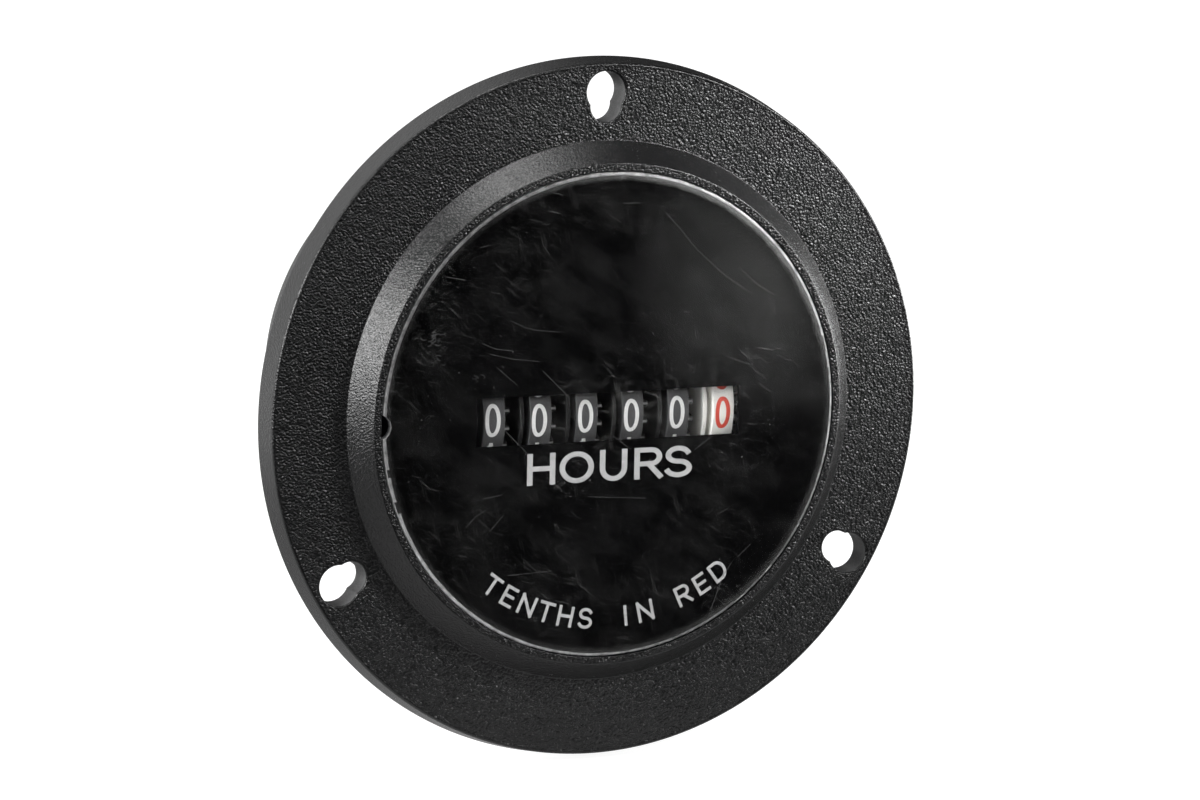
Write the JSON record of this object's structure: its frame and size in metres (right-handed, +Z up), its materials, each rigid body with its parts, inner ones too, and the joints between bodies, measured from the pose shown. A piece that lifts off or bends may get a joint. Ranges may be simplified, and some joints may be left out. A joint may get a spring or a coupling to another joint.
{
  "type": "hour meter",
  "caption": "Round panel hour meter: a flanged black case with keyhole mounting holes, a clear lens over a dial, and number wheels driven by a stepping motor and gears.",
  "frame": {"origin": "centre of the flange's back face, on the meter's axis and in the panel plane", "axes": "+Y back through the panel along the meter's axis, +Z up, +X right as the dial is read"},
  "size_m": [0.072, 0.044, 0.072],
  "materials": {
    "case_plastic": "black moulded plastic with a fine pebble grain",
    "clear_plastic": "clear polished plastic",
    "dial_black": "black printed plate, glossy",
    "sheet_steel": "plated sheet steel",
    "steel": "bright steel",
    "spring_steel": "spring steel",
    "wheel_dark": "dark grey moulded plastic",
    "wheel_white": "white moulded plastic",
    "natural_plastic": "natural moulded plastic",
    "brass": "turned and stamped brass",
    "magnet": "ground magnet",
    "core_steel": "annealed core steel",
    "copper": "enamelled copper wire",
    "board": "green laminate",
    "chip": "black moulding compound",
    "can": "plated metal can",
    "sleeve": "blue sleeve",
    "tinned_brass": "tinned brass strip"
  },
  "bodies": {
    "meter": {"case": "case_plastic", "lens": "clear_plastic", "dial_plate": "dial_black", "counter_frame": "sheet_steel", "frame_screws": "steel", "wheel_shaft": "steel", "pinion_shaft": "steel", "shaft_clips": "spring_steel", "train_bridge": "brass", "train_pillars": "brass", "train_screws": "steel", "rotor_bridge": "brass", "stator": "core_steel", "stator_posts": "brass", "coil_core": "core_steel", "coil_bobbin": "natural_plastic", "coil_winding": "copper", "circuit_board": "board", "timer_chip": "chip", "quartz_crystal": "can", "capacitor": "sleeve", "diode": "chip", "board_screws": "steel", "rear_cover": "case_plastic", "terminal_left": "tinned_brass", "terminal_right": "tinned_brass"},
    "tenths": {"tenths_wheel": "wheel_white"},
    "units": {"units_wheel": "wheel_dark"},
    "tens": {"tens_wheel": "wheel_dark"},
    "hundreds": {"hundreds_wheel": "wheel_dark"},
    "thousands": {"thousands_wheel": "wheel_dark"},
    "ten_thousands": {"ten_thousands_wheel": "wheel_dark"},
    "pinion_5": {"transfer_pinion_5": "natural_plastic"},
    "pinion_4": {"transfer_pinion_4": "natural_plastic"},
    "pinion_3": {"transfer_pinion_3": "natural_plastic"},
    "pinion_2": {"transfer_pinion_2": "natural_plastic"},
    "pinion_1": {"transfer_pinion_1": "natural_plastic"},
    "reducer": {"reduction_gear": "natural_plastic"},
    "rotor": {"rotor_arbor": "brass", "rotor_magnet": "magnet"}
  },
  "joints": [
    {"name": "tenths_spin", "type": "hinge", "parent": "meter", "child": "tenths", "pos_m": [0, 0.0024, -0.0002], "axis": [-1, 0, 0], "continuous": true},
    {"name": "units_spin", "type": "hinge", "parent": "meter", "child": "units", "pos_m": [0, 0.0024, -0.0002], "axis": [-1, 0, 0], "continuous": true},
    {"name": "tens_spin", "type": "hinge", "parent": "meter", "child": "tens", "pos_m": [0, 0.0024, -0.0002], "axis": [-1, 0, 0], "continuous": true},
    {"name": "hundreds_spin", "type": "hinge", "parent": "meter", "child": "hundreds", "pos_m": [0, 0.0024, -0.0002], "axis": [-1, 0, 0], "continuous": true},
    {"name": "thousands_spin", "type": "hinge", "parent": "meter", "child": "thousands", "pos_m": [0, 0.0024, -0.0002], "axis": [-1, 0, 0], "continuous": true},
    {"name": "ten_thousands_spin", "type": "hinge", "parent": "meter", "child": "ten_thousands", "pos_m": [0, 0.0024, -0.0002], "axis": [-1, 0, 0], "continuous": true},
    {"name": "pinion_5_spin", "type": "hinge", "parent": "meter", "child": "pinion_5", "pos_m": [0, 0.00701, 0.00614], "axis": [-1, 0, 0], "continuous": true},
    {"name": "pinion_4_spin", "type": "hinge", "parent": "meter", "child": "pinion_4", "pos_m": [0, 0.00701, 0.00614], "axis": [-1, 0, 0], "continuous": true},
    {"name": "pinion_3_spin", "type": "hinge", "parent": "meter", "child": "pinion_3", "pos_m": [0, 0.00701, 0.00614], "axis": [-1, 0, 0], "continuous": true},
    {"name": "pinion_2_spin", "type": "hinge", "parent": "meter", "child": "pinion_2", "pos_m": [0, 0.00701, 0.00614], "axis": [-1, 0, 0], "continuous": true},
    {"name": "pinion_1_spin", "type": "hinge", "parent": "meter", "child": "pinion_1", "pos_m": [0, 0.00701, 0.00614], "axis": [-1, 0, 0], "continuous": true},
    {"name": "reducer_spin", "type": "hinge", "parent": "meter", "child": "reducer", "pos_m": [0, 0.00898, -0.00259], "axis": [-1, 0, 0], "continuous": true},
    {"name": "rotor_spin", "type": "hinge", "parent": "meter", "child": "rotor", "pos_m": [0, 0.01091, -0.00982], "axis": [-1, 0, 0], "continuous": true}
  ],
  "couplings": [
    {"joint": "units_spin", "follows": "tenths_spin", "ratio": 0.1},
    {"joint": "tens_spin", "follows": "tenths_spin", "ratio": 0.01},
    {"joint": "hundreds_spin", "follows": "tenths_spin", "ratio": 0.001},
    {"joint": "thousands_spin", "follows": "tenths_spin", "ratio": 0.0001},
    {"joint": "ten_thousands_spin", "follows": "tenths_spin", "ratio": 0.00001},
    {"joint": "pinion_5_spin", "follows": "tenths_spin", "ratio": -0.25},
    {"joint": "pinion_4_spin", "follows": "tenths_spin", "ratio": -0.025},
    {"joint": "pinion_3_spin", "follows": "tenths_spin", "ratio": -0.0025},
    {"joint": "pinion_2_spin", "follows": "tenths_spin", "ratio": -0.00025},
    {"joint": "pinion_1_spin", "follows": "tenths_spin", "ratio": -0.000025},
    {"joint": "reducer_spin", "follows": "tenths_spin", "ratio": -4},
    {"joint": "rotor_spin", "follows": "tenths_spin", "ratio": 30}
  ]
}
